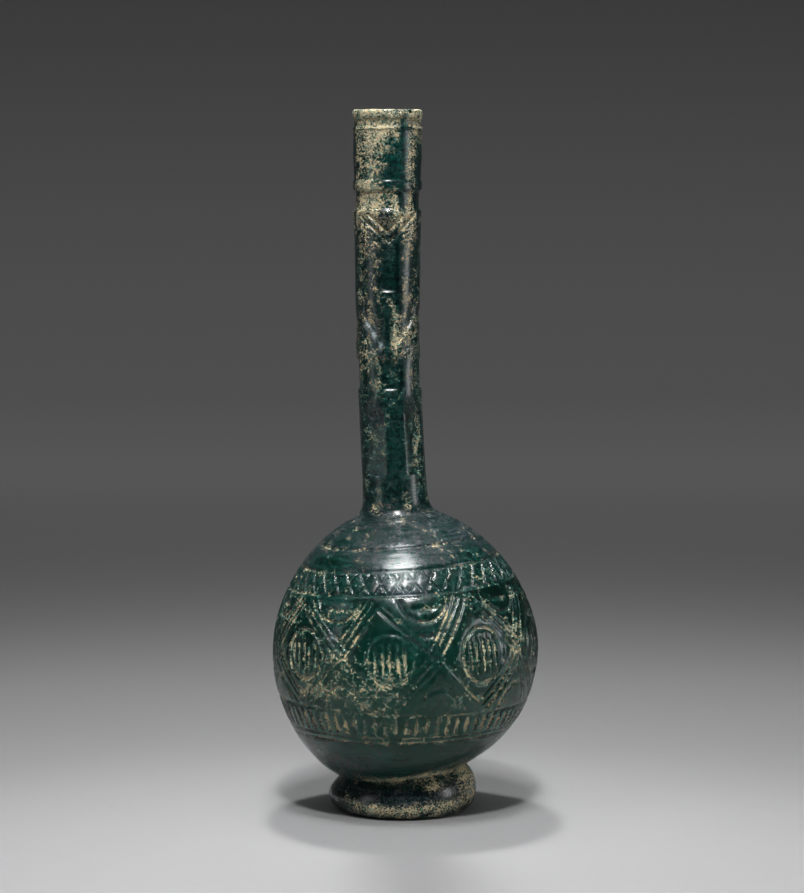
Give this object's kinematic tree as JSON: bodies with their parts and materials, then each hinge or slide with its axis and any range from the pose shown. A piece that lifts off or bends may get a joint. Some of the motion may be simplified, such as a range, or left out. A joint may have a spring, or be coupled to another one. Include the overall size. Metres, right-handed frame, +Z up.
{
  "type": "long-necked glass bottle",
  "caption": "Hollow blown-glass bottle with a globe body, long leaning neck, collared lip, applied ring foot and wheel-cut bands, lozenges and neck facets, for oil or scent.",
  "frame": {"origin": "centre of the foot ring's underside, on the surface that the bottle stands on", "axes": "+Z up along the neck, -Y towards the front, +X to the right of the front"},
  "size_m": [0.0838, 0.0838, 0.22],
  "materials": {
    "glass": "dark emerald glass, wheel-cut and polished, with a buff weathering crust in the cuts and patches of it over the neck, shoulder and foot"
  },
  "bodies": {
    "root": {"bottle": "glass"}
  },
  "joints": []
}
